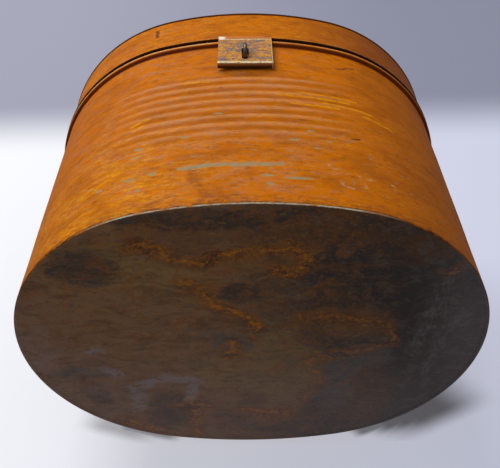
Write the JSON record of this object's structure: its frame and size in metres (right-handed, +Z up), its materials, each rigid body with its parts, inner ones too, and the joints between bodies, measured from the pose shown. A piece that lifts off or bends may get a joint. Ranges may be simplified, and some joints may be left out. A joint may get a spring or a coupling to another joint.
{
  "type": "hatbox",
  "caption": "Oval tinplate hatbox with swaged wall rings, a deep lid over a collar, a rear hinge, a hasp and staple for a padlock, and a drop handle on top.",
  "frame": {"origin": "on the floor under the middle of the box, standing on its base with the lid closed", "axes": "+Z up, -Y towards the front with the hasp and staple, +X to the right seen from the front, along the oval's long way"},
  "size_m": [0.4072, 0.3456, 0.3056],
  "materials": {
    "scumble_paint": "combed brown glaze over orange paint, worn, semi-gloss",
    "japanned_base": "dark japan with rust veins, satin",
    "tinplate": "dull tinned sheet",
    "worn_steel": "worn painted steel, rubbed bright at the edges",
    "brass": "dull aged brass"
  },
  "bodies": {
    "box": {"front_wall": "scumble_paint", "back_wall": "scumble_paint", "left_seam": "tinplate", "right_seam": "tinplate", "base_panel": "japanned_base", "collar_wire": "tinplate", "staple": "worn_steel", "staple_plate": "tinplate", "hinge_body_leaf": "worn_steel", "hinge_body_rivets": "worn_steel", "hinge_pin": "worn_steel"},
    "lid": {"lid_skirt": "scumble_paint", "lid_seam": "tinplate", "lid_top": "scumble_paint", "lid_rim_wire": "tinplate", "hinge_lid_leaf": "worn_steel", "hinge_lid_rivets": "worn_steel", "hasp_strap": "scumble_paint", "hasp_pin": "worn_steel", "left_saddle": "brass", "right_saddle": "brass", "saddle_rivets": "brass"},
    "hasp": {"hasp_plate": "worn_steel"},
    "handle": {"handle": "brass"}
  },
  "joints": [
    {"name": "lid_hinge", "type": "hinge", "parent": "box", "child": "lid", "pos_m": [0, 0.1668, 0.2377], "axis": [-1, 0, 0], "range_deg": [0, 110]},
    {"name": "hasp_swing", "type": "hinge", "parent": "lid", "child": "hasp", "pos_m": [-0.0042, -0.1642, 0.2367], "axis": [-1, 0, 0], "range_deg": [0, 145]},
    {"name": "handle_swing", "type": "hinge", "parent": "lid", "child": "handle", "pos_m": [0, 0, 0.3018], "axis": [1, 0, 0], "range_deg": [0, 180]}
  ]
}
